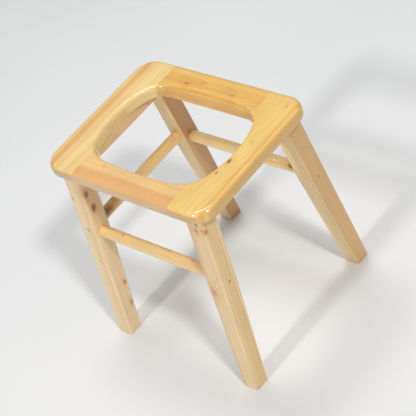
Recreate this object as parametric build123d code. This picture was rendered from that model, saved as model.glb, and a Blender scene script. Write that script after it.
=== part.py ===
from build123d import *
import os

os.makedirs("parts", exist_ok=True)

# Lacquered pine commode stool.
# X runs left to right, Y from front to back, Z up. The origin is on the floor
# under the middle of the seat. The side without a stretcher is the front (-Y).

# Seat frame
seat_height = 400.0
seat_width = 290.0
seat_depth = 367.0
seat_thickness = 22.0
seat_corner_radius = 38.0
seat_top_round = 10.0
seat_bottom_round = 5.0
end_board_width = 75.0

# Opening in the seat: straight sides on the underside, wider bowed sides on the top face
opening_half_depth = 134.0
opening_end_radius = 182.0
opening_bottom_half_width = 86.0
opening_bottom_corner_radius = 40.0
opening_bottom_round = 1.5
opening_top_half_width = 101.0
opening_top_side_bow = 9.8
opening_top_corner_radius = 60.0
opening_top_round = 8.0

# Legs: square section, splayed both ways, tapered on the inner faces near the foot
leg_section = 36.0
leg_top_outer_x = 130.5
leg_top_outer_y = 159.0
leg_foot_outer_x = 171.0
leg_foot_outer_y = 168.0
leg_foot_width_x = 30.0
leg_foot_width_y = 32.0
leg_taper_start = 230.0
leg_edge_round = 4.0
leg_foot_round = 1.5

# Round stretchers
stretcher_diameter = 21.5
side_stretcher_height = 240.0
back_stretcher_height = 251.0
stretcher_socket_depth = 8.0

# Aprons under the front and back boards
apron_thickness = 20.0
apron_height = 24.0
apron_centre_y = 147.0
apron_edge_round = 1.5

# Countersunk wood screws
shank_diameter = 4.0
shank_tip_length = 4.0
head_diameter = 8.0
head_height = 3.0
head_sink = 1.0
recess_length = 12.0
cross_slot_length = 5.0
cross_slot_width = 1.2
cross_slot_depth = 1.2
stretcher_screw_length = 45.0
apron_screw_length = 60.0
apron_screw_height = 365.0
seat_screw_length = 36.0
seat_screw_x = 55.0

# Finishing nails through the legs into the side stretchers
nail_diameter = 2.8
nail_length = 46.0
nail_tip_length = 4.0
nail_head_diameter = 4.2
nail_head_height = 1.6
nail_sink = 2.0
nail_drop = 5.0

# Wooden dowels
dowel_diameter = 8.0
seat_dowel_length = 36.0
seat_dowel_half_gap = 11.0
seat_dowel_x = 117.0
leg_dowel_length = 34.0
leg_dowel_rise = 14.0
leg_dowel_y = 134.0

underside = seat_height - seat_thickness
joint_y = seat_depth / 2 - end_board_width
centred = (Align.CENTER, Align.CENTER, Align.CENTER)
from_start = (Align.CENTER, Align.CENTER, Align.MIN)
sides = {"left": -1, "right": 1}
ends = {"front": -1, "back": 1}


def rod(radius, start, end):
    """Round rod between two points."""
    path = Line(start, end)
    return Plane(start, z_dir=path % 0) * Cylinder(radius, path.length, align=from_start)


def outer_x(z):
    """Distance from the middle plane to a leg's outer side face."""
    return leg_top_outer_x + (leg_foot_outer_x - leg_top_outer_x) * (underside - z) / underside


def outer_y(z):
    """Distance from the middle plane to a leg's outer end face."""
    return leg_top_outer_y + (leg_foot_outer_y - leg_top_outer_y) * (underside - z) / underside


def opening_plan(half_width, side_bow, corner_radius):
    """Plan of the opening at one level: bowed ends, straight or bowed sides, rounded corners."""
    reach = opening_end_radius - opening_half_depth
    corner_x = half_width - side_bow
    corner_y = (opening_end_radius**2 - corner_x**2) ** 0.5 - reach
    right_front = (corner_x, -corner_y)
    right_back = (corner_x, corner_y)
    left_back = (-corner_x, corner_y)
    left_front = (-corner_x, -corner_y)
    with BuildSketch() as plan:
        with BuildLine():
            if side_bow:
                ThreePointArc(right_front, (half_width, 0), right_back)
            else:
                Line(right_front, right_back)
            ThreePointArc(right_back, (0, opening_half_depth), left_back)
            if side_bow:
                ThreePointArc(left_back, (-half_width, 0), left_front)
            else:
                Line(left_back, left_front)
            ThreePointArc(left_front, (0, -opening_half_depth), right_front)
        make_face()
        fillet(plan.vertices(), corner_radius)
    return plan.sketch


def seat_frame():
    """The whole seat frame before it is divided into its four boards."""
    plan = RectangleRounded(seat_width, seat_depth, seat_corner_radius)
    plate = extrude(Pos(0, 0, underside) * plan, seat_thickness)
    plate = fillet(plate.faces().sort_by(Axis.Z)[-1].edges(), seat_top_round)
    plate = fillet(plate.faces().sort_by(Axis.Z)[0].edges(), seat_bottom_round)
    bottom_plan = opening_plan(opening_bottom_half_width, 0, opening_bottom_corner_radius)
    top_plan = opening_plan(opening_top_half_width, opening_top_side_bow, opening_top_corner_radius)
    plate -= loft([Pos(0, 0, underside) * bottom_plan, Pos(0, 0, seat_height) * top_plan], ruled=True)
    top_rim = plate.faces().sort_by(Axis.Z)[-1].inner_wires()[0]
    plate = fillet(top_rim.edges(), opening_top_round)
    bottom_rim = plate.faces().sort_by(Axis.Z)[0].inner_wires()[0]
    return fillet(bottom_rim.edges(), opening_bottom_round)


def leg(side, end):
    """One splayed leg, cut level at the seat and at the floor."""
    sections = []
    for z in (underside, leg_taper_start, 0.0):
        width_x = leg_foot_width_x if z == 0.0 else leg_section
        width_y = leg_foot_width_y if z == 0.0 else leg_section
        centre_x = side * (outer_x(z) - width_x / 2)
        centre_y = end * (outer_y(z) - width_y / 2)
        sections.append(Pos(centre_x, centre_y, z) * Rectangle(width_x, width_y))
    body = loft(sections, ruled=True)
    along = [e for e in body.edges() if abs(e.tangent_at(0.5).Z) > 0.5]
    body = fillet(along, leg_edge_round)
    return fillet(body.faces().sort_by(Axis.Z)[0].edges(), leg_foot_round)


def screw(length):
    """Countersunk screw along +Z from the tip of its shank to the top of its head."""
    shank_top = length - head_height
    with BuildPart() as part:
        with BuildSketch(Plane.XZ):
            with BuildLine():
                Polyline(
                    (0, 0),
                    (shank_diameter / 2, shank_tip_length),
                    (shank_diameter / 2, shank_top),
                    (head_diameter / 2, length),
                    (0, length),
                    close=True,
                )
            make_face()
        revolve(axis=Axis.Z)
    body = part.part
    for angle in (0, 90):
        slot = Box(cross_slot_length, cross_slot_width, 2 * cross_slot_depth, align=centred)
        body -= Pos(0, 0, length) * Rot(0, 0, angle) * slot
    return body


def screw_hole(length):
    """Hole for a screw, open above its head."""
    shank = Cylinder(shank_diameter / 2, length - head_height, align=from_start)
    cone = Cone(shank_diameter / 2, head_diameter / 2, head_height, align=from_start)
    recess = Cylinder(head_diameter / 2, recess_length, align=from_start)
    return shank + Pos(0, 0, length - head_height) * cone + Pos(0, 0, length) * recess


def nail():
    """Finishing nail along +Z from its tip to the top of its small head."""
    shank_top = nail_length - nail_head_height
    with BuildPart() as part:
        with BuildSketch(Plane.XZ):
            with BuildLine():
                Polyline(
                    (0, 0),
                    (nail_diameter / 2, nail_tip_length),
                    (nail_diameter / 2, shank_top),
                    (nail_head_diameter / 2, shank_top),
                    (nail_head_diameter / 2, nail_length),
                    (0, nail_length),
                    close=True,
                )
            make_face()
        revolve(axis=Axis.Z)
    return part.part


def nail_hole():
    """Hole for a nail, open above its head."""
    shank_top = nail_length - nail_head_height
    shank = Cylinder(nail_diameter / 2, shank_top, align=from_start)
    recess = Cylinder(nail_head_diameter / 2, nail_head_height + recess_length, align=from_start)
    return shank + Pos(0, 0, shank_top) * recess


def drive(body, hole, depth, head_point, direction):
    """A fixing and its hole, driven along a direction until the tip is at a depth under the
    given surface point."""
    inward = Vector(*direction)
    tip_plane = Plane(Vector(*head_point) + inward * depth, z_dir=inward * -1)
    return tip_plane * body, tip_plane * hole


def drive_screw(length, head_point, direction):
    """A screw with its head sunk under a surface point, and the hole it needs."""
    return drive(screw(length), screw_hole(length), length + head_sink, head_point, direction)


def subtract(body, tools):
    """Cut a list of tools from a body and keep its largest solid."""
    for tool in tools:
        body -= tool
    return body.solids().sort_by(SortBy.VOLUME)[-1]


# Stretchers run between the middles of the legs and stop inside their sockets
half = leg_section / 2
side_z = side_stretcher_height
back_z = back_stretcher_height
side_x = outer_x(side_z) - half
back_y = outer_y(back_z) - half
side_reach = outer_y(side_z) - leg_section + stretcher_socket_depth
back_reach = outer_x(back_z) - leg_section + stretcher_socket_depth
stretchers = {}
for name, side in sides.items():
    start = (side * side_x, -side_reach, side_z)
    end = (side * side_x, side_reach, side_z)
    stretchers[name] = rod(stretcher_diameter / 2, start, end)
stretchers["back"] = rod(stretcher_diameter / 2, (-back_reach, back_y, back_z), (back_reach, back_y, back_z))

# Fixings: a nail into each end of the side stretchers, a screw into each end of the back
# stretcher and of the aprons, two screws up through each apron
stretcher_nails = []
stretcher_screws = []
apron_screws = []
seat_screws = []
holes = []
for side in sides.values():
    for end in ends.values():
        nail_z = side_z - nail_drop
        head = (side * side_x, end * outer_y(nail_z), nail_z)
        body, hole = drive(nail(), nail_hole(), nail_length + nail_sink, head, (0, -end, 0))
        stretcher_nails.append(body)
        holes.append(hole)
        head = (side * outer_x(apron_screw_height), end * apron_centre_y, apron_screw_height)
        body, hole = drive_screw(apron_screw_length, head, (-side, 0, 0))
        apron_screws.append(body)
        holes.append(hole)
        head = (side * seat_screw_x, end * apron_centre_y, underside - apron_height)
        body, hole = drive_screw(seat_screw_length, head, (0, 0, 1))
        seat_screws.append(body)
        holes.append(hole)
    head = (side * outer_x(back_z), back_y, back_z)
    body, hole = drive_screw(stretcher_screw_length, head, (-side, 0, 0))
    stretcher_screws.append(body)
    holes.append(hole)

# Dowels: two across each seat joint, one on top of each leg
seat_dowels = []
leg_dowels = []
dowel_z = seat_height - seat_thickness / 2
for side in sides.values():
    for end in ends.values():
        for offset in (-seat_dowel_half_gap, seat_dowel_half_gap):
            x = side * (seat_dowel_x + offset)
            near = (x, end * (joint_y - seat_dowel_length / 2), dowel_z)
            far = (x, end * (joint_y + seat_dowel_length / 2), dowel_z)
            seat_dowels.append(rod(dowel_diameter / 2, near, far))
        x = side * (leg_top_outer_x - half)
        low = (x, end * leg_dowel_y, underside + leg_dowel_rise - leg_dowel_length)
        high = (x, end * leg_dowel_y, underside + leg_dowel_rise)
        leg_dowels.append(rod(dowel_diameter / 2, low, high))

# Legs with their sockets
legs = {}
for side_name, side in sides.items():
    for end_name, end in ends.items():
        cuts = list(stretchers.values()) + holes + leg_dowels
        legs[f"{end_name}_{side_name}"] = subtract(leg(side, end), cuts)

# Aprons fitted between the legs
aprons = {}
for name, end in ends.items():
    long_bar = Box(2 * leg_top_outer_x - leg_section, apron_thickness, apron_height, align=centred)
    long_bar = fillet(long_bar.edges().filter_by(Axis.X), apron_edge_round)
    bar = Pos(0, end * apron_centre_y, underside - apron_height / 2) * long_bar
    near_legs = [leg(-1, end), leg(1, end)]
    aprons[name] = subtract(bar, near_legs + holes)

# Seat boards: the end boards run the full width, the side rails fit between them
frame = seat_frame()
wide = 2 * seat_width
seat_boards = {}
for name, end in ends.items():
    block = Box(wide, end_board_width, wide, align=centred)
    part = frame & (Pos(0, end * (joint_y + end_board_width / 2), seat_height) * block)
    seat_boards[f"seat_board_{name}"] = subtract(part, holes + seat_dowels + leg_dowels)
for name, side in sides.items():
    block = Box(seat_width / 2, 2 * joint_y, wide, align=centred)
    part = frame & (Pos(side * seat_width / 4, 0, seat_height) * block)
    seat_boards[f"seat_rail_{name}"] = subtract(part, holes + seat_dowels + leg_dowels)

for name, body in seat_boards.items():
    export_step(body, f"parts/{name}.step")
for name, body in legs.items():
    export_step(body, f"parts/leg_{name}.step")
for name, body in aprons.items():
    export_step(body, f"parts/apron_{name}.step")
for name, body in stretchers.items():
    export_step(subtract(body, holes), f"parts/stretcher_{name}.step")
export_step(Compound(children=stretcher_nails), "parts/stretcher_nails.step")
export_step(Compound(children=stretcher_screws), "parts/stretcher_screws.step")
export_step(Compound(children=apron_screws), "parts/apron_screws.step")
export_step(Compound(children=seat_screws), "parts/seat_screws.step")
export_step(Compound(children=seat_dowels), "parts/seat_dowels.step")
export_step(Compound(children=leg_dowels), "parts/leg_dowels.step")
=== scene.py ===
import math

import bmesh
import bpy
from mathutils import Matrix, Vector


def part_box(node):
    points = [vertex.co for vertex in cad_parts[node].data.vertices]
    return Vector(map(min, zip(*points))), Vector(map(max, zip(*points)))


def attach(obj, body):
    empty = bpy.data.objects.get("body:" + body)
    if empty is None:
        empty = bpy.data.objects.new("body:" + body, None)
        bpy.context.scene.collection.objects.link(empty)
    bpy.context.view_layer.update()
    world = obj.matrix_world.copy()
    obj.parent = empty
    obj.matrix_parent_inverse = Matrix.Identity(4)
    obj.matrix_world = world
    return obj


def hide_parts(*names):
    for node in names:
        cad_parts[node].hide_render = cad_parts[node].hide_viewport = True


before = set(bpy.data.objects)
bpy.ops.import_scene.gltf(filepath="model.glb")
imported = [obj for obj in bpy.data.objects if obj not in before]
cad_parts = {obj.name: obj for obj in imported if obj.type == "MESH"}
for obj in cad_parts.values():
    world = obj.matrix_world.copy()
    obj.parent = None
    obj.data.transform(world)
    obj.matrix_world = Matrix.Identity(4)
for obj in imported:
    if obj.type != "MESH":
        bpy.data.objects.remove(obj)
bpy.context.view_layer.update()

# Lacquered pine commode stool. Everything is in metres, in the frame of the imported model:
# X left to right, Y front to back, Z up, origin on the floor under the middle of the seat.
MM = 0.001
scene = bpy.context.scene
scene.view_settings.view_transform = "Standard"

# ---------------------------------------------------------------------------
# Sizes in metres, read from the frame where it holds them
# ---------------------------------------------------------------------------
board_low, board_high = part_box("seat_board_front")
HALF_WIDTH = board_high.x
HALF_DEPTH = -board_low.y
TOP = board_high.z
UNDERSIDE = board_low.z
JOINT_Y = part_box("seat_rail_left")[1].y
CORNER_RADIUS = 38 * MM
EDGE_ROUND = 10 * MM
LOWER_EDGE_ROUND = 5 * MM

OPENING_HALF_DEPTH = 134 * MM
OPENING_END_RADIUS = 182 * MM
LOWER_OPENING = dict(half_width=86 * MM, bow=0.0, corner=40 * MM)
UPPER_OPENING = dict(half_width=101 * MM, bow=9.8 * MM, corner=60 * MM)
RIM_ROUND_END = 10 * MM
RIM_ROUND_SIDE = 6 * MM
RIM_ROUND_LOW = 1.5 * MM
# Lean of the opening's wall at which the rim has its full side rounding
SIDE_LEAN = 12 * MM

LEG_EDGE_ROUND = 4 * MM
FOOT_ROUND = 1.5 * MM
LEG_TOP_WIDTH = 36 * MM
LEG_FOOT_WIDTH_X = 30 * MM
LEG_FOOT_WIDTH_Y = 32 * MM
LEG_TAPER_START = 230 * MM
leg_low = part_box("leg_front_left")[0]
LEG_TOP_OUTER = (130.5 * MM, 159 * MM)
LEG_FOOT_OUTER = (-leg_low.x, -leg_low.y)
SCREW_HOLE_RADIUS = 4.1 * MM
SCREW_HOLE_DEPTH = 3.6 * MM
NAIL_HOLE_RADIUS = 2.15 * MM
NAIL_HOLE_DEPTH = 3.4 * MM
HOLE_CHAMFER = 0.5 * MM
HOLE_MOUTH = 1.12
CUTTER_REACH = 6 * MM

# Slight unevenness of the turned rods: shares of the radius, and waves per metre in radians
ROD_STEPS = 48
ROD_SWELLS = ((0.010, 61.0), (0.006, 137.0))
ROD_FLATS = 0.006
ROD_TWIST = 20.0

# Relief of the wood and of its clear coat
RIPPLE_HEIGHT = 0.07 * MM
FIBRE_HEIGHT = 0.016 * MM
RING_HEIGHT = 0.035 * MM
PORE_DEPTH = 0.02 * MM
COAT_RIPPLE_HEIGHT = 0.03 * MM
COAT_ROUGHNESS = 0.10
COAT_IOR = 1.65


# ---------------------------------------------------------------------------
# Mesh helpers
# ---------------------------------------------------------------------------
def finish_mesh(bm, name, sharp=35):
    """Turns a bmesh into an object with smooth shading that breaks at sharp edges."""
    bmesh.ops.recalc_face_normals(bm, faces=bm.faces)
    mesh = bpy.data.meshes.new(name)
    bm.to_mesh(mesh)
    bm.free()
    mesh.polygons.foreach_set("use_smooth", [True] * len(mesh.polygons))
    mesh.set_sharp_from_angle(angle=math.radians(sharp))
    obj = bpy.data.objects.new(name, mesh)
    scene.collection.objects.link(obj)
    return obj


def skin_rings(bm, rings, closed_profile=False, cap=True):
    """Joins loops of points, each with the same number of points, into a tube of quads."""
    loops = [[bm.verts.new(p) for p in ring] for ring in rings]
    pairs = list(zip(loops, loops[1:]))
    if closed_profile:
        pairs.append((loops[-1], loops[0]))
    for low, high in pairs:
        count = len(low)
        for i in range(count):
            j = (i + 1) % count
            bm.faces.new((low[i], low[j], high[j], high[i]))
    if cap and not closed_profile:
        bm.faces.new(list(reversed(loops[0])))
        bm.faces.new(loops[-1])
    return loops


def install(obj, node, material):
    """Shows a finished piece in place of a CAD node."""
    obj.data.materials.append(material)
    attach(obj, "root")
    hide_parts(node)


# ---------------------------------------------------------------------------
# Seat frame: one ring of quads, then cut into its four boards
# ---------------------------------------------------------------------------
SIDE_STEPS = 44
CORNER_STEPS = 40
END_STEPS = 72


def quarter_to_ring(quarter):
    """Mirrors (point, normal) samples of the +X +Y quarter into a closed counterclockwise loop."""
    loop = list(quarter)
    loop += [((-p[0], p[1]), (-n[0], n[1])) for p, n in reversed(quarter[:-1])]
    loop += [((-p[0], -p[1]), (-n[0], -n[1])) for p, n in quarter[1:]]
    loop += [((p[0], -p[1]), (n[0], -n[1])) for p, n in reversed(quarter[1:-1])]
    return loop


def arc_samples(centre, radius, start, end, steps):
    """Points and outward normals along an arc, angles in radians."""
    out = []
    for i in range(steps + 1):
        a = start + (end - start) * i / steps
        n = (math.cos(a), math.sin(a))
        out.append(((centre[0] + radius * n[0], centre[1] + radius * n[1]), n))
    return out


def outline_loop():
    """Outer outline of the seat."""
    corner = (HALF_WIDTH - CORNER_RADIUS, HALF_DEPTH - CORNER_RADIUS)
    half_side = SIDE_STEPS // 2
    half_end = END_STEPS // 2
    side = [((HALF_WIDTH, corner[1] * i / half_side), (1.0, 0.0)) for i in range(half_side)]
    turn = arc_samples(corner, CORNER_RADIUS, 0.0, math.pi / 2, CORNER_STEPS)
    end = [((corner[0] * (1 - i / half_end), HALF_DEPTH), (0.0, 1.0)) for i in range(1, half_end + 1)]
    return quarter_to_ring(side + turn + end)


def opening_loop(half_width, bow, corner):
    """Outline of the opening at one level, with normals that point into the wood."""
    reach = OPENING_END_RADIUS - OPENING_HALF_DEPTH
    corner_x = half_width - bow
    corner_y = math.sqrt(OPENING_END_RADIUS**2 - corner_x**2) - reach
    half_side = SIDE_STEPS // 2
    half_end = END_STEPS // 2
    inner_end = OPENING_END_RADIUS - corner
    if bow:
        side_radius = (corner_y**2 + bow**2) / (2 * bow)
        side_centre_x = half_width - side_radius
        inner_side = side_radius - corner
        gap = math.hypot(side_centre_x, reach)
        base = math.atan2(-reach, -side_centre_x)
        swing = math.acos((inner_side**2 + gap**2 - inner_end**2) / (2 * inner_side * gap))
        cx = side_centre_x + inner_side * math.cos(base + swing)
        cy = inner_side * math.sin(base + swing)
        start = math.atan2(cy, cx - side_centre_x)
        side = arc_samples((side_centre_x, 0.0), side_radius, 0.0, start, half_side)[:-1]
    else:
        cx = half_width - corner
        cy = math.sqrt(inner_end**2 - cx**2) - reach
        start = 0.0
        side = [((half_width, cy * i / half_side), (1.0, 0.0)) for i in range(half_side)]
    stop = math.atan2(cy + reach, cx)
    turn = arc_samples((cx, cy), corner, start, stop, CORNER_STEPS)
    end = arc_samples((0.0, -reach), OPENING_END_RADIUS, stop, math.pi / 2, half_end)[1:]
    return quarter_to_ring(side + turn + end)


def smoothstep(low, high, value):
    t = min(max((value - low) / (high - low), 0.0), 1.0)
    return t * t * (3 - 2 * t)


def seat_rings():
    """Rings of points around the seat, from the lower rim of the opening, up over the top, and
    down the outer edge to the underside."""
    outer = outline_loop()
    low = opening_loop(**LOWER_OPENING)
    high = opening_loop(**UPPER_OPENING)
    sections = []
    for (po, no), (pl, nl), (ph, nh) in zip(outer, low, high):
        lean = math.hypot(ph[0] - pl[0], ph[1] - pl[1])
        sideways = smoothstep(0.0, SIDE_LEAN, lean)
        rim = RIM_ROUND_END + (RIM_ROUND_SIDE - RIM_ROUND_END) * sideways
        wall = Vector((ph[0] - pl[0], ph[1] - pl[1], TOP - UNDERSIDE)).normalized()
        corner = Vector((ph[0], ph[1], TOP))
        outward = Vector((nh[0], nh[1], 0.0))
        turn = wall.angle(outward)
        reach = rim * math.tan(turn / 2)
        foot = Vector((pl[0], pl[1], UNDERSIDE))
        into = Vector((nl[0], nl[1], 0.0))
        points = []
        for i in range(5):
            a = math.pi / 2 * i / 4
            lift = Vector((0, 0, RIM_ROUND_LOW * (1 - math.cos(a))))
            points.append(foot + into * RIM_ROUND_LOW * (1 - math.sin(a)) + lift)
        wall_start = foot + wall * RIM_ROUND_LOW
        wall_stop = corner - wall * reach
        points[-1] = wall_start
        for t in (0.04, 0.3, 0.6, 0.96):
            points.append(wall_start.lerp(wall_stop, t))
        for i in range(13):
            t = i / 12
            a = wall_stop.lerp(corner, t)
            b = corner.lerp(corner + outward * reach, t)
            soft = a.lerp(b, t)
            points.append(soft)
        flat_start = points[-1]
        flat_stop = Vector((po[0] - no[0] * EDGE_ROUND, po[1] - no[1] * EDGE_ROUND, TOP))
        for t in (0.02, 0.15, 0.32, 0.5, 0.68, 0.85, 0.98):
            points.append(flat_start.lerp(flat_stop, t))
        out = Vector((no[0], no[1], 0.0))
        for i in range(15):
            a = math.pi / 2 * i / 14
            drop = Vector((0, 0, -EDGE_ROUND * (1 - math.cos(a))))
            points.append(flat_stop + out * EDGE_ROUND * math.sin(a) + drop)
        side_top = points[-1]
        side_low = Vector((po[0], po[1], UNDERSIDE + LOWER_EDGE_ROUND))
        for t in (0.06, 0.5, 0.94):
            points.append(side_top.lerp(side_low, t))
        for i in range(9):
            a = math.pi / 2 * i / 8
            drop = Vector((0, 0, -LOWER_EDGE_ROUND * math.sin(a)))
            points.append(side_low - out * LOWER_EDGE_ROUND * (1 - math.cos(a)) + drop)
        under_start = points[-1]
        for t in (0.02, 0.5, 0.98):
            points.append(under_start.lerp(points[0], t))
        sections.append(points)
    return [list(ring) for ring in zip(*sections)]


def keep_side(bm, point, normal):
    """Cuts away what lies on the normal's side of a plane and closes the cut flat."""
    everything = list(bm.verts) + list(bm.edges) + list(bm.faces)
    bmesh.ops.bisect_plane(bm, geom=everything, plane_co=point, plane_no=normal, dist=1e-7,
                           clear_outer=True)
    rim = [e for e in bm.edges if e.is_boundary]
    bmesh.ops.edgeloop_fill(bm, edges=rim)


def seat_piece(name, cuts):
    bm = bmesh.new()
    skin_rings(bm, seat_rings(), closed_profile=True)
    for point, normal in cuts:
        keep_side(bm, point, normal)
    return finish_mesh(bm, name)


# ---------------------------------------------------------------------------
# Legs, stretchers
# ---------------------------------------------------------------------------
def rounded_square(x0, x1, y0, y1, radius, z, steps=6):
    """Counterclockwise loop around a rectangle with rounded corners and a point close to each."""
    loop = []
    corners = ((x1, y1, 0), (x0, y1, 90), (x0, y0, 180), (x1, y0, 270))
    for x, y, start in corners:
        cx = x - math.copysign(radius, x - (x0 + x1) / 2)
        cy = y - math.copysign(radius, y - (y0 + y1) / 2)
        for i in range(steps + 1):
            a = math.radians(start + 90 * i / steps)
            loop.append((cx + radius * math.cos(a), cy + radius * math.sin(a), z))
    spaced = []
    for i, p in enumerate(loop):
        q = loop[(i + 1) % len(loop)]
        spaced.append(p)
        if (i + 1) % (steps + 1) == 0:
            for t in (0.03, 0.5, 0.97):
                spaced.append(tuple(p[k] + (q[k] - p[k]) * t for k in range(3)))
    return spaced


def leg_limits(z):
    """Outer and inner distances of a leg's faces from the middle planes at one height."""
    drop = (UNDERSIDE - z) / UNDERSIDE
    outer_x = LEG_TOP_OUTER[0] + (LEG_FOOT_OUTER[0] - LEG_TOP_OUTER[0]) * drop
    outer_y = LEG_TOP_OUTER[1] + (LEG_FOOT_OUTER[1] - LEG_TOP_OUTER[1]) * drop
    taper = max(0.0, (LEG_TAPER_START - z) / LEG_TAPER_START)
    width_x = LEG_TOP_WIDTH + (LEG_FOOT_WIDTH_X - LEG_TOP_WIDTH) * taper
    width_y = LEG_TOP_WIDTH + (LEG_FOOT_WIDTH_Y - LEG_TOP_WIDTH) * taper
    return outer_x, outer_x - width_x, outer_y, outer_y - width_y


def leg_piece(name, side, end):
    """One splayed leg: levels are heights with the inset of the rounded foot."""
    levels = [(FOOT_ROUND * (1 - math.cos(a)), FOOT_ROUND * (1 - math.sin(a)))
              for a in (math.pi / 2 * i / 4 for i in range(5))]
    levels.append((FOOT_ROUND * 1.4, 0.0))
    levels += [(z * MM, 0.0) for z in (60, 120, 180, 222)]
    levels.append((LEG_TAPER_START, 0.0))
    levels += [(z * MM, 0.0) for z in (238, 290, 340)]
    levels.append((UNDERSIDE, 0.0))
    rings = []
    for z, inset in levels:
        outer_x, inner_x, outer_y, inner_y = leg_limits(z)
        xs = sorted((side * (outer_x - inset), side * (inner_x + inset)))
        ys = sorted((end * (outer_y - inset), end * (inner_y + inset)))
        rings.append(rounded_square(xs[0], xs[1], ys[0], ys[1], LEG_EDGE_ROUND - inset, z))
    bm = bmesh.new()
    skin_rings(bm, rings)
    return finish_mesh(bm, name)


def bore(obj, centre, inward, hole_radius=SCREW_HOLE_RADIUS, hole_depth=SCREW_HOLE_DEPTH):
    """Cuts the recess of a screw or nail into a piece."""
    inward = Vector(inward)
    bm = bmesh.new()
    turn = inward.to_track_quat("Z", "Y")
    rings = []
    for offset, widening in ((-CUTTER_REACH, HOLE_MOUTH), (0.0, HOLE_MOUTH), (HOLE_CHAMFER, 1.0),
                             (hole_depth, 1.0)):
        ring = []
        for i in range(32):
            a = 2 * math.pi * i / 32
            around = Vector((math.cos(a), math.sin(a), 0.0)) * hole_radius * widening
            ring.append(Vector(centre) + turn @ (around + Vector((0, 0, offset))))
        rings.append(ring)
    skin_rings(bm, rings)
    cutter = finish_mesh(bm, obj.name + "_cutter")
    cut = obj.modifiers.new("bore", "BOOLEAN")
    cut.operation = "DIFFERENCE"
    cut.solver = "EXACT"
    cut.object = cutter
    graph = bpy.context.evaluated_depsgraph_get()
    mesh = bpy.data.meshes.new_from_object(obj.evaluated_get(graph))
    obj.modifiers.clear()
    obj.data = mesh
    mesh.set_sharp_from_angle(angle=math.radians(35))
    bpy.data.objects.remove(cutter)


def rod_piece(name, node, axis):
    """A turned rod as long as its CAD node, with the slight unevenness of a hand-sanded dowel."""
    low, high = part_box(node)
    centre = (low + high) / 2
    across = [k for k in range(3) if k != axis]
    radius = (high[across[0]] - low[across[0]]) / 2
    length = high[axis] - low[axis]
    (slow_swell, slow_wave), (fast_swell, fast_wave) = ROD_SWELLS
    rings = []
    for j in range(ROD_STEPS + 1):
        along = low[axis] + length * j / ROD_STEPS
        slow_dip = slow_swell * (0.5 + 0.5 * math.sin(along * slow_wave + axis))
        fast_dip = fast_swell * (0.5 + 0.5 * math.sin(along * fast_wave))
        swell = 1 - slow_dip - fast_dip
        ring = []
        for i in range(ROD_STEPS):
            a = 2 * math.pi * i / ROD_STEPS
            flat = 1 - ROD_FLATS * (0.5 + 0.5 * math.cos(3 * a + along * ROD_TWIST))
            p = [0.0, 0.0, 0.0]
            p[axis] = along
            p[across[0]] = centre[across[0]] + radius * swell * flat * math.cos(a)
            p[across[1]] = centre[across[1]] + radius * swell * flat * math.sin(a)
            ring.append(p)
        rings.append(ring)
    bm = bmesh.new()
    skin_rings(bm, rings)
    return finish_mesh(bm, name)


# ---------------------------------------------------------------------------
# Procedural pine
# ---------------------------------------------------------------------------
class Graph:
    """Short names for the shader nodes that the wood needs."""

    def __init__(self, name):
        self.material = bpy.data.materials.new(name)
        self.material.use_nodes = True
        self.tree = self.material.node_tree
        self.tree.nodes.clear()

    def node(self, kind, **settings):
        made = self.tree.nodes.new(kind)
        for key, value in settings.items():
            setattr(made, key, value)
        return made

    def plug(self, socket, value):
        if isinstance(value, bpy.types.NodeSocket):
            self.tree.links.new(value, socket)
        else:
            socket.default_value = value

    def math(self, operation, *values, clamp=False):
        made = self.node("ShaderNodeMath", operation=operation, use_clamp=clamp)
        for socket, value in zip(made.inputs, values):
            self.plug(socket, value)
        return made.outputs[0]

    def vector(self, operation, *values):
        made = self.node("ShaderNodeVectorMath", operation=operation)
        for socket, value in zip(made.inputs, values):
            self.plug(socket, value)
        return made.outputs["Value"] if operation in ("DOT_PRODUCT", "LENGTH") else made.outputs[0]

    def combine(self, x, y, z):
        made = self.node("ShaderNodeCombineXYZ")
        for socket, value in zip(made.inputs, (x, y, z)):
            self.plug(socket, value)
        return made.outputs[0]

    def noise(self, vector, scale=1.0, detail=2.0, rough=0.5):
        made = self.node("ShaderNodeTexNoise", noise_dimensions="3D")
        self.plug(made.inputs["Vector"], vector)
        made.inputs["Scale"].default_value = scale
        made.inputs["Detail"].default_value = detail
        made.inputs["Roughness"].default_value = rough
        return made.outputs[0]

    def step(self, value, low, high, out_low=0.0, out_high=1.0):
        made = self.node("ShaderNodeMapRange", interpolation_type="SMOOTHSTEP")
        self.plug(made.inputs["Value"], value)
        made.inputs["From Min"].default_value = low
        made.inputs["From Max"].default_value = high
        made.inputs["To Min"].default_value = out_low
        made.inputs["To Max"].default_value = out_high
        return made.outputs[0]

    def mix(self, factor, a, b, blend="MIX"):
        made = self.node("ShaderNodeMix", data_type="RGBA", blend_type=blend)
        self.plug(made.inputs["Factor"], factor)
        self.plug(made.inputs["A"], a)
        self.plug(made.inputs["B"], b)
        return made.outputs["Result"]


def rgb(r, g, b):
    """An sRGB colour, 0 to 255, as a linear RGBA tuple."""
    linear = [((c / 255 + 0.055) / 1.055) ** 2.4 if c > 10 else c / 255 / 12.92 for c in (r, g, b)]
    return (*linear, 1.0)


END_GRAIN = rgb(216, 174, 136)


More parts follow.
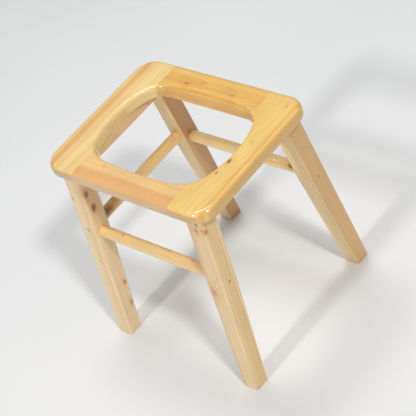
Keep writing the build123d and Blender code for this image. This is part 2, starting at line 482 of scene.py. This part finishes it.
def pine(name, grain, pith, early, late, orange, ring=4.2 * MM, contrast=0.55, bands=(), faces=(),
         knots=(), streak=0.5, lines=0.5, gloss=0.8, seed=0.0, cathedral=0.0):
    """Clear-lacquered pine that is solid all through: growth rings round a pith line, fibres along
    the grain, darker end grain, bands of other colours and knots.

    grain is the direction of the fibres, pith a point on the pith line. bands are
    (centre, direction, half_width, strength, colour) bands along the grain. faces are
    (direction, strength, colour) tints of the faces that look one way. knots are
    (centre, axis, radius, depth, colour, strength). ring is the mean ring width, contrast the
    strength of the rings, streak and lines those of the wide and fine streaks, gloss the weight
    of the coat, and cathedral the tilt of the rings along the grain."""
    g = Graph(name)
    grain = Vector(grain).normalized()
    aside = grain.cross(Vector((0.31, 0.17, 0.94))).normalized()
    above = grain.cross(aside)
    place = g.node("ShaderNodeTexCoord").outputs["Object"]
    local = g.vector("SUBTRACT", place, tuple(pith))
    u = g.vector("DOT_PRODUCT", local, tuple(grain))
    v = g.vector("DOT_PRODUCT", local, tuple(aside))
    w = g.vector("DOT_PRODUCT", local, tuple(above))

    def stretched(along, across, shift=0.0):
        """Texture coordinates with their own frequency along and across the grain."""
        return g.combine(g.math("MULTIPLY_ADD", u, along, shift), g.math("MULTIPLY", v, across),
                         g.math("MULTIPLY_ADD", w, across, seed + shift))

    slow = stretched(3.0, 14.0)
    wander = g.math("MULTIPLY_ADD", g.noise(slow, 1.0, 2.0), 16 * MM, -8 * MM)
    slow_b = g.vector("ADD", slow, (7.3, 1.9, 4.4))
    wander_b = g.math("MULTIPLY_ADD", g.noise(slow_b, 1.0, 2.0), 16 * MM, -8 * MM)
    rise = g.math("MULTIPLY", u, cathedral)
    v2 = g.math("ADD", v, wander)
    w2 = g.math("ADD", g.math("ADD", w, wander_b), rise)
    radius = g.math("SQRT", g.math("ADD", g.math("MULTIPLY", v2, v2), g.math("MULTIPLY", w2, w2)))
    phase = g.math("DIVIDE", radius, ring)
    uneven = g.noise(g.combine(g.math("MULTIPLY", radius, 120.0), seed, 0.0), 1.0, 1.0)
    phase = g.math("ADD", phase, g.math("MULTIPLY", uneven, 1.4))

    ragged = g.noise(g.vector("ADD", place, (seed, 0.0, 0.0)), 260.0, 3.0)
    cores = []
    for centre, axis, size, depth, colour, strength in knots:
        axis = Vector(axis).normalized()
        q = g.vector("SUBTRACT", place, tuple(centre))
        height = g.vector("DOT_PRODUCT", q, tuple(axis))
        along = g.math("MULTIPLY", g.vector("DOT_PRODUCT", q, tuple(grain)), 0.58)
        other = tuple(grain.cross(axis).normalized())
        across = g.vector("DOT_PRODUCT", q, other)
        squares = g.math("ADD", g.math("MULTIPLY", along, along), g.math("MULTIPLY", across, across))
        far = g.math("SQRT", squares)
        far = g.math("DIVIDE", far, size)
        far = g.math("ADD", far, g.math("MULTIPLY_ADD", ragged, 1.3, -0.65))
        fade = g.step(g.math("ABSOLUTE", height), depth * 0.6, depth, 1.0, 0.0)
        near = g.math("MULTIPLY", g.step(far, 1.2, 4.2, 1.0, 0.0), fade)
        phase = g.math("ADD", phase, g.math("MULTIPLY", near, 1.9))
        core = g.math("MULTIPLY", g.step(far, 0.15, 1.45, 1.0, 0.0), fade)
        halo = g.math("MULTIPLY", g.step(far, 0.7, 3.6, 1.0, 0.0), fade)
        cores.append((core, halo, colour, strength))

    part = g.math("FRACT", phase)
    latewood = g.math("MULTIPLY", g.math("POWER", part, 2.4), g.step(part, 0.90, 1.0, 1.0, 0.0))
    patch = g.noise(stretched(5.0, 30.0, 1.3), 1.0, 2.0)
    strength = g.math("MULTIPLY", g.step(patch, 0.30, 0.68, 0.30, 1.0), contrast)
    latewood = g.math("MULTIPLY", latewood, strength)
    colour = g.mix(latewood, early, late)

    tone = g.noise(stretched(1.6, 46.0, 3.1), 1.0, 3.0)
    colour = g.mix(g.math("MULTIPLY", g.step(tone, 0.46, 0.74), streak), colour, orange)
    thread = g.step(g.noise(stretched(3.5, 330.0, 5.7), 1.0, 2.0, 0.6), 0.50, 0.72)
    colour = g.mix(g.math("MULTIPLY", thread, lines), colour, late)
    for centre, direction, half, amount, band_colour in bands:
        direction = Vector(direction).normalized()
        off = g.vector("DOT_PRODUCT", g.vector("SUBTRACT", place, tuple(centre)), tuple(direction))
        off = g.math("ADD", off, g.math("MULTIPLY", wander, 0.35))
        band = g.step(g.math("ABSOLUTE", off), half * 0.35, half, 1.0, 0.0)
        band = g.math("MULTIPLY", band, g.step(patch, 0.2, 0.7, 0.75, 1.0))
        tinted = g.mix(g.math("MULTIPLY", latewood, 0.7), band_colour, late)
        colour = g.mix(g.math("MULTIPLY", band, amount), colour, tinted)
    normal = g.node("ShaderNodeNewGeometry").outputs["Normal"]
    # Face tints paint light and shade onto the faces that look one way.
    for direction, amount, painted_face_colour in faces:
        facing = g.step(g.vector("DOT_PRODUCT", normal, direction), 0.55, 0.90)
        tinted = g.mix(g.math("MULTIPLY", latewood, 0.7), painted_face_colour, late)
        colour = g.mix(g.math("MULTIPLY", facing, amount), colour, tinted)

    fibre = g.noise(stretched(26.0, 1500.0, 2.2), 1.0, 3.0, 0.6)
    pore = g.step(g.noise(stretched(60.0, 900.0, 9.0), 1.0, 1.0), 0.66, 0.74)
    blotch = g.noise(g.vector("ADD", place, (seed, 2.0 * seed, 0.0)), 16.0, 3.0)
    value = g.step(fibre, 0.25, 0.75, 0.95, 1.035)
    value = g.math("ADD", value, g.step(blotch, 0.3, 0.7, -0.035, 0.03))
    value = g.math("SUBTRACT", value, g.math("MULTIPLY", pore, 0.10))
    ends = g.step(g.math("ABSOLUTE", g.vector("DOT_PRODUCT", normal, tuple(grain))), 0.72, 0.95)
    value = g.math("MULTIPLY", value, g.step(ends, 0.0, 1.0, 1.0, 0.86))
    colour = g.mix(g.math("MULTIPLY", ends, 0.45), colour, END_GRAIN)
    colour = g.mix(1.0, colour, g.combine(value, value, value), "MULTIPLY")
    for core, halo, knot_colour, amount in cores:
        colour = g.mix(g.math("MULTIPLY", halo, 0.5 * amount), colour, orange)
        colour = g.mix(g.math("MULTIPLY", core, amount), colour, knot_colour)

    wave = g.noise(g.vector("ADD", place, (seed, seed, seed)), 42.0, 1.0)
    ripple = g.math("MULTIPLY", wave, RIPPLE_HEIGHT)
    fibres = g.math("MULTIPLY", fibre, FIBRE_HEIGHT)
    relief = g.math("ADD", fibres, g.math("MULTIPLY", latewood, RING_HEIGHT))
    relief = g.math("SUBTRACT", relief, g.math("MULTIPLY", pore, PORE_DEPTH))
    bump = g.node("ShaderNodeBump")
    bump.inputs["Strength"].default_value = 1.0
    bump.inputs["Distance"].default_value = 1.0
    g.plug(bump.inputs["Height"], g.math("ADD", ripple, relief))
    film = g.node("ShaderNodeBump")
    film.inputs["Strength"].default_value = 1.0
    film.inputs["Distance"].default_value = 1.0
    g.plug(film.inputs["Height"], g.math("MULTIPLY", wave, COAT_RIPPLE_HEIGHT))

    shader = g.node("ShaderNodeBsdfPrincipled")
    g.plug(shader.inputs["Base Color"], colour)
    g.plug(shader.inputs["Roughness"], g.step(blotch, 0.3, 0.7, 0.42, 0.54))
    g.plug(shader.inputs["Normal"], bump.outputs[0])
    g.plug(shader.inputs["Coat Normal"], film.outputs[0])
    shader.inputs["Specular IOR Level"].default_value = 0.35
    shader.inputs["Coat Weight"].default_value = gloss
    shader.inputs["Coat Roughness"].default_value = COAT_ROUGHNESS
    shader.inputs["Coat IOR"].default_value = COAT_IOR
    out = g.node("ShaderNodeOutputMaterial")
    g.tree.links.new(shader.outputs[0], out.inputs["Surface"])
    return g.material


def metal(name, light, dark, grime):
    """Plated steel with a cloudy tint, grime and tool marks."""
    g = Graph(name)
    place = g.node("ShaderNodeTexCoord").outputs["Object"]
    cloud = g.noise(place, 380.0, 3.0)
    grit = g.noise(place, 2600.0, 2.0)
    colour = g.mix(g.step(cloud, 0.35, 0.65), light, dark)
    colour = g.mix(g.step(grit, 0.62, 0.75), colour, grime)
    bump = g.node("ShaderNodeBump")
    bump.inputs["Strength"].default_value = 1.0
    bump.inputs["Distance"].default_value = 1.0
    g.plug(bump.inputs["Height"], g.math("MULTIPLY", grit, 0.03 * MM))
    shader = g.node("ShaderNodeBsdfPrincipled")
    g.plug(shader.inputs["Base Color"], colour)
    g.plug(shader.inputs["Roughness"], g.step(cloud, 0.3, 0.7, 0.28, 0.46))
    g.plug(shader.inputs["Normal"], bump.outputs[0])
    shader.inputs["Metallic"].default_value = 0.9
    out = g.node("ShaderNodeOutputMaterial")
    g.tree.links.new(shader.outputs[0], out.inputs["Surface"])
    return g.material


# ---------------------------------------------------------------------------
# Pieces and their woods
# ---------------------------------------------------------------------------
X = (1, 0, 0)
Y = (0, 1, 0)
Z = (0, 0, 1)
KNOT_DARK = rgb(110, 52, 22)
KNOT_PURPLE = rgb(120, 74, 54)
KNOT_PINK = rgb(190, 132, 104)
KNOT_ORANGE = rgb(208, 116, 48)


def spot(x, y, z):
    """A point given in millimetres."""
    return (x * MM, y * MM, z * MM)


front_board_wood = pine(
    "pine_board_front", X, spot(0, -120, 300), rgb(243, 204, 120), rgb(206, 142, 56), rgb(234, 168, 76),
    ring=4.6 * MM, contrast=0.28, streak=0.34, lines=0.20, seed=1.7, cathedral=0.05,
    bands=((spot(0, -171, 400), Y, 5 * MM, 0.60, rgb(228, 162, 78)),
           (spot(0, -181, 385), Y, 4 * MM, 0.50, rgb(206, 160, 102))),
    knots=((spot(-22, -143, 400), Z, 3.0 * MM, 14 * MM, KNOT_DARK, 0.95),
           (spot(-51, -139, 399), Z, 1.8 * MM, 12 * MM, KNOT_DARK, 0.8),
           (spot(118, -156, 400), Z, 1.3 * MM, 8 * MM, KNOT_ORANGE, 0.7),
           (spot(27, -152, 400), Z, 1.3 * MM, 8 * MM, KNOT_ORANGE, 0.7)))
back_board_wood = pine(
    "pine_board_back", X, spot(0, 96, 280), rgb(243, 211, 146), rgb(212, 154, 76), rgb(228, 168, 88),
    ring=5.0 * MM, contrast=0.34, streak=0.42, lines=0.22, seed=5.3, cathedral=-0.04,
    bands=((spot(0, 163, 400), Y, 9 * MM, 0.75, rgb(218, 160, 88)),
           (spot(0, 150, 400), Y, 12 * MM, 0.40, rgb(232, 184, 106))))
left_rail_wood = pine(
    "pine_rail_left", Y, spot(-190, 0, 350), rgb(241, 199, 134), rgb(204, 134, 66), rgb(226, 162, 90),
    ring=4.2 * MM, contrast=0.42, streak=0.42, lines=0.24, seed=9.1, cathedral=0.03,
    bands=((spot(-132, 0, 400), X, 16 * MM, 0.65, rgb(222, 156, 88)),
           (spot(-146, 0, 388), X, 5 * MM, 0.75, rgb(220, 184, 148))),
    knots=((spot(-107, 62, 400), Z, 1.5 * MM, 8 * MM, KNOT_ORANGE, 0.5),))
right_rail_wood = pine(
    "pine_rail_right", Y, spot(118, 0, 384), rgb(238, 194, 106), rgb(190, 116, 38), rgb(224, 154, 62),
    ring=4.4 * MM, contrast=0.60, streak=0.45, lines=0.30, seed=12.6, cathedral=0.10,
    bands=((spot(115, 0, 400), X, 15 * MM, 0.45, rgb(222, 156, 68)),
           (spot(0, 0, 383), Z, 10 * MM, 0.70, rgb(206, 156, 108))),
    knots=((spot(108, 56, 400), Z, 3.8 * MM, 10 * MM, KNOT_ORANGE, 0.85),
           (spot(108, -47, 400), Z, 1.7 * MM, 12 * MM, KNOT_DARK, 0.85)))

board_front = seat_piece("board_front", [((0, -JOINT_Y, 0), Y)])
board_back = seat_piece("board_back", [((0, JOINT_Y, 0), (0, -1, 0))])
install(board_front, "seat_board_front", front_board_wood)
install(board_back, "seat_board_back", back_board_wood)
for name, side, wood in (("left", -1, left_rail_wood), ("right", 1, right_rail_wood)):
    cuts = [((0, JOINT_Y, 0), Y), ((0, -JOINT_Y, 0), (0, -1, 0)), ((0, 0, 0), (-side, 0, 0))]
    install(seat_piece("rail_" + name, cuts), "seat_rail_" + name, wood)

# The front right leg's paler early wood is painted light that makes up for the seat's shade falling on
# it in the level pose.
leg_early = {"back_left": rgb(250, 222, 176), "front_left": rgb(250, 220, 168),
             "front_right": rgb(255, 226, 168), "back_right": rgb(252, 224, 174)}
LEG_LATE = rgb(208, 156, 98)
LEG_ORANGE = rgb(230, 176, 110)
LEG_GOLD = rgb(238, 192, 116)
LEG_PINK = rgb(222, 176, 136)
leg_knots = {
    "back_left": (
        (spot(-126, 124, 330), Y, 5.2 * MM, 12 * MM, KNOT_PURPLE, 0.95),
        (spot(-125, 125, 296), Y, 5.6 * MM, 12 * MM, KNOT_PURPLE, 0.95),
        (spot(-135, 130, 112), Y, 3.0 * MM, 10 * MM, KNOT_PURPLE, 0.75),
        (spot(-140, 132, 62), Y, 3.6 * MM, 10 * MM, KNOT_PINK, 0.8),
        (spot(-137, 154, 320), X, 2.2 * MM, 8 * MM, KNOT_PINK, 0.8),
        (spot(-152, 142, 180), X, 1.8 * MM, 8 * MM, KNOT_PINK, 0.7)),
    "front_left": (
        (spot(-133, -156, 355), X, 2.2 * MM, 8 * MM, KNOT_PURPLE, 0.7),
        (spot(-134, -143, 350), X, 4.6 * MM, 10 * MM, KNOT_PINK, 0.8),
        (spot(-148, -138, 218), X, 6.4 * MM, 10 * MM, rgb(210, 142, 108), 0.80),
        (spot(-129, -159, 350), (-1, -1, 0), 3.2 * MM, 8 * MM, KNOT_ORANGE, 0.85)),
    "front_right": (),
    "back_right": (),
}
leg_bands = {
    "back_left": ((spot(-118, 150, 378), (1, -0.05, 0.1), 8 * MM, 0.45, LEG_PINK),),
    # The gold band on the front left leg's front face is partly the wood's own tone and partly painted
    # shade.
    "front_left": ((spot(-112, -159, 378), (1, 0.05, -0.107), 12 * MM, 0.55, LEG_GOLD),
                   (spot(-130, -128, 378), (0.02, 1, -0.024), 9 * MM, 0.50, LEG_PINK)),
    # The dark band along the front right leg's outer front edge is painted shade.
    "front_right": ((spot(131, -159, 378), (1, 0, 0.107), 5 * MM, 0.50, rgb(166, 108, 60)),),
    "back_right": (),
}
# The tints on the right legs stand in for shading that the level stool doesn't have.
leg_painted_shade = {
    "back_left": (),
    "front_left": (),
    "front_right": (((0, -1, 0), 0.75, rgb(216, 162, 96)),),
    "back_right": (((-1, 0, 0), 0.75, rgb(255, 222, 160)), ((0, -1, 0), 0.75, rgb(208, 144, 76))),
}
top_x, _, top_y, _ = leg_limits(UNDERSIDE)
foot_x, _, foot_y, _ = leg_limits(0.0)


def middle(node):
    low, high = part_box(node)
    return (low + high) / 2


side_x = -middle("stretcher_left").x
back_rod = middle("stretcher_back")
apron_y = -middle("apron_front").y
apron_z = middle("apron_screws").z
nail_z = middle("stretcher_nails").z

for name, side, end, seed in (("back_left", -1, 1, 2.2), ("front_left", -1, -1, 6.4),
                              ("front_right", 1, -1, 8.8), ("back_right", 1, 1, 14.9)):
    grain = (side * (top_x - foot_x), end * (top_y - foot_y), UNDERSIDE)
    pith = (side * (foot_x + 26 * MM), end * (foot_y - 70 * MM), 0.0)
    wood = pine("pine_leg_" + name, grain, pith, leg_early[name], LEG_LATE, LEG_ORANGE, ring=4.4 * MM,
                contrast=0.50, streak=0.42, lines=0.40, gloss=0.55, seed=seed, cathedral=0.03 * side,
                bands=leg_bands[name], faces=leg_painted_shade[name], knots=leg_knots[name])
    leg = leg_piece("post_" + name, side, end)
    nail_head = (side * side_x, end * leg_limits(nail_z)[2], nail_z)
    bore(leg, nail_head, (0, -end, 0), NAIL_HOLE_RADIUS, NAIL_HOLE_DEPTH)
    bore(leg, (side * leg_limits(apron_z)[0], end * apron_y, apron_z), (-side, 0, 0))
    if end > 0:
        bore(leg, (side * leg_limits(back_rod.z)[0], back_rod.y, back_rod.z), (-side, 0, 0))
    install(leg, "leg_" + name, wood)

ROD_EARLY = rgb(252, 216, 152)
ROD_LATE = rgb(216, 160, 88)
ROD_ORANGE = rgb(240, 184, 108)
rods = (
    ("left", 1, Y, spot(-150, 0, 205), 3.3, ROD_EARLY,
     ((spot(-128, 74, 250), Z, 1.5 * MM, 6 * MM, KNOT_DARK, 0.8),)),
    # The right rod's paler early wood is painted light that makes up for the seat's shade on it in the
    # level pose.
    ("right", 1, Y, spot(150, 0, 215), 7.7, rgb(255, 228, 168),
     ((spot(122, -112, 246), (-1, 0, 1), 5.2 * MM, 12 * MM, rgb(104, 56, 28), 0.8),)),
    ("back", 0, X, spot(0, 160, 220), 11.4, ROD_EARLY,
     ((spot(-98, 137, 255), (0, -1, 1), 9.0 * MM, 14 * MM, rgb(146, 92, 54), 0.85),)),
)
for name, axis, grain, pith, seed, early, knots in rods:
    wood = pine("pine_rod_" + name, grain, pith, early, ROD_LATE, ROD_ORANGE, ring=4.4 * MM,
                contrast=0.55, streak=0.45, lines=0.35, gloss=0.6, seed=seed, cathedral=0.06,
                knots=knots)
    node = "stretcher_" + name
    install(rod_piece("rod_" + name, node, axis), node, wood)

for name, seed in (("front", 4.1), ("back", 10.2)):
    wood = pine("pine_apron_" + name, X, spot(0, 190, 330), rgb(240, 200, 146), rgb(208, 154, 98),
                rgb(224, 164, 102), ring=4.4 * MM, contrast=0.5, streak=0.4, gloss=0.5, seed=seed)
    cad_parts["apron_" + name].data.materials.clear()
    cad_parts["apron_" + name].data.materials.append(wood)

steel = metal("zinc_screws", rgb(232, 238, 242), rgb(186, 194, 192), rgb(92, 88, 72))
nail_steel = metal("nail_steel", rgb(112, 104, 96), rgb(78, 66, 56), rgb(44, 34, 26))
dowel_wood = pine("beech_dowels", Z, spot(0, 0, 0), rgb(224, 190, 146), rgb(196, 150, 104),
                  rgb(206, 156, 104), ring=1.6 * MM, contrast=0.4, streak=0.3, gloss=0.0, seed=15.5)
for name in ("stretcher_screws", "apron_screws", "seat_screws"):
    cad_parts[name].data.materials.clear()
    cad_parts[name].data.materials.append(steel)
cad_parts["stretcher_nails"].data.materials.clear()
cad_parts["stretcher_nails"].data.materials.append(nail_steel)
for name in ("seat_dowels", "leg_dowels"):
    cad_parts[name].data.materials.clear()
    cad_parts[name].data.materials.append(dowel_wood)

# ---------------------------------------------------------------------------
# Floor, light and camera
# ---------------------------------------------------------------------------
FLOOR_HALF_SIZE = 9.0
bm = bmesh.new()
bmesh.ops.create_grid(bm, x_segments=8, y_segments=8, size=FLOOR_HALF_SIZE)
floor = finish_mesh(bm, "floor")
g = Graph("pale_floor")
where = g.node("ShaderNodeTexCoord").outputs["Object"]
paper = g.step(g.noise(where, 1.3, 2.0), 0.3, 0.7)
shader = g.node("ShaderNodeBsdfPrincipled")
g.plug(shader.inputs["Base Color"], g.mix(paper, rgb(233, 234, 234), rgb(238, 238, 238)))
shader.inputs["Roughness"].default_value = 0.75
shader.inputs["Specular IOR Level"].default_value = 0.2
g.tree.links.new(shader.outputs[0], g.node("ShaderNodeOutputMaterial").inputs["Surface"])
floor.data.materials.append(g.material)

world = bpy.data.worlds.new("studio")
scene.world = world
world.use_nodes = True
world.node_tree.nodes["Background"].inputs["Color"].default_value = (0.97, 0.985, 1.0, 1.0)
world.node_tree.nodes["Background"].inputs["Strength"].default_value = 0.30

# The lights face this point inside the stool
CENTRE = Vector((0.0, 0.0, 0.25))


def softbox(name, position, size_x, size_y, power, colour=(1.0, 1.0, 1.0)):
    light = bpy.data.lights.new(name, "AREA")
    light.shape = "RECTANGLE"
    light.size = size_x
    light.size_y = size_y
    light.energy = power
    light.color = colour
    lamp = bpy.data.objects.new(name, light)
    lamp.location = position
    lamp.rotation_euler = (CENTRE - Vector(position)).to_track_quat("-Z", "Y").to_euler()
    scene.collection.objects.link(lamp)


softbox("overhead", (0.35, 0.50, 2.4), 0.84, 0.56, 17.0)
softbox("key_front", (-1.10, -4.27, 5.69), 0.58, 0.58, 172.0)
softbox("key_left", (-5.36, 0.20, 4.75), 0.58, 0.58, 136.0)

# The camera looks at TARGET. A hand tilts the photographed stool; this one stands level, so the
# camera rolls instead.
AZIMUTH = math.radians(-35.02)
ELEVATION = math.radians(40.64)
ROLL = math.radians(-23.78)
DISTANCE = 2.4174
TARGET = Vector((0.0085, 0.0049, 0.2103))
FOCAL_LENGTH = 120.7
SENSOR_WIDTH = 36.0
level_ahead = Vector((-math.sin(AZIMUTH), math.cos(AZIMUTH), 0.0))
ahead = level_ahead * math.cos(ELEVATION) - Vector((0.0, 0.0, math.sin(ELEVATION)))
level_right = Vector((math.cos(AZIMUTH), math.sin(AZIMUTH), 0.0))
level_up = level_right.cross(ahead)
right = level_right * math.cos(ROLL) + level_up * math.sin(ROLL)
up = level_up * math.cos(ROLL) - level_right * math.sin(ROLL)
lens = bpy.data.cameras.new("camera")
lens.lens = FOCAL_LENGTH
lens.sensor_width = SENSOR_WIDTH
camera = bpy.data.objects.new("camera", lens)
camera.matrix_world = Matrix((right, up, -ahead)).transposed().to_4x4()
camera.location = TARGET - ahead * DISTANCE
scene.collection.objects.link(camera)
scene.camera = camera
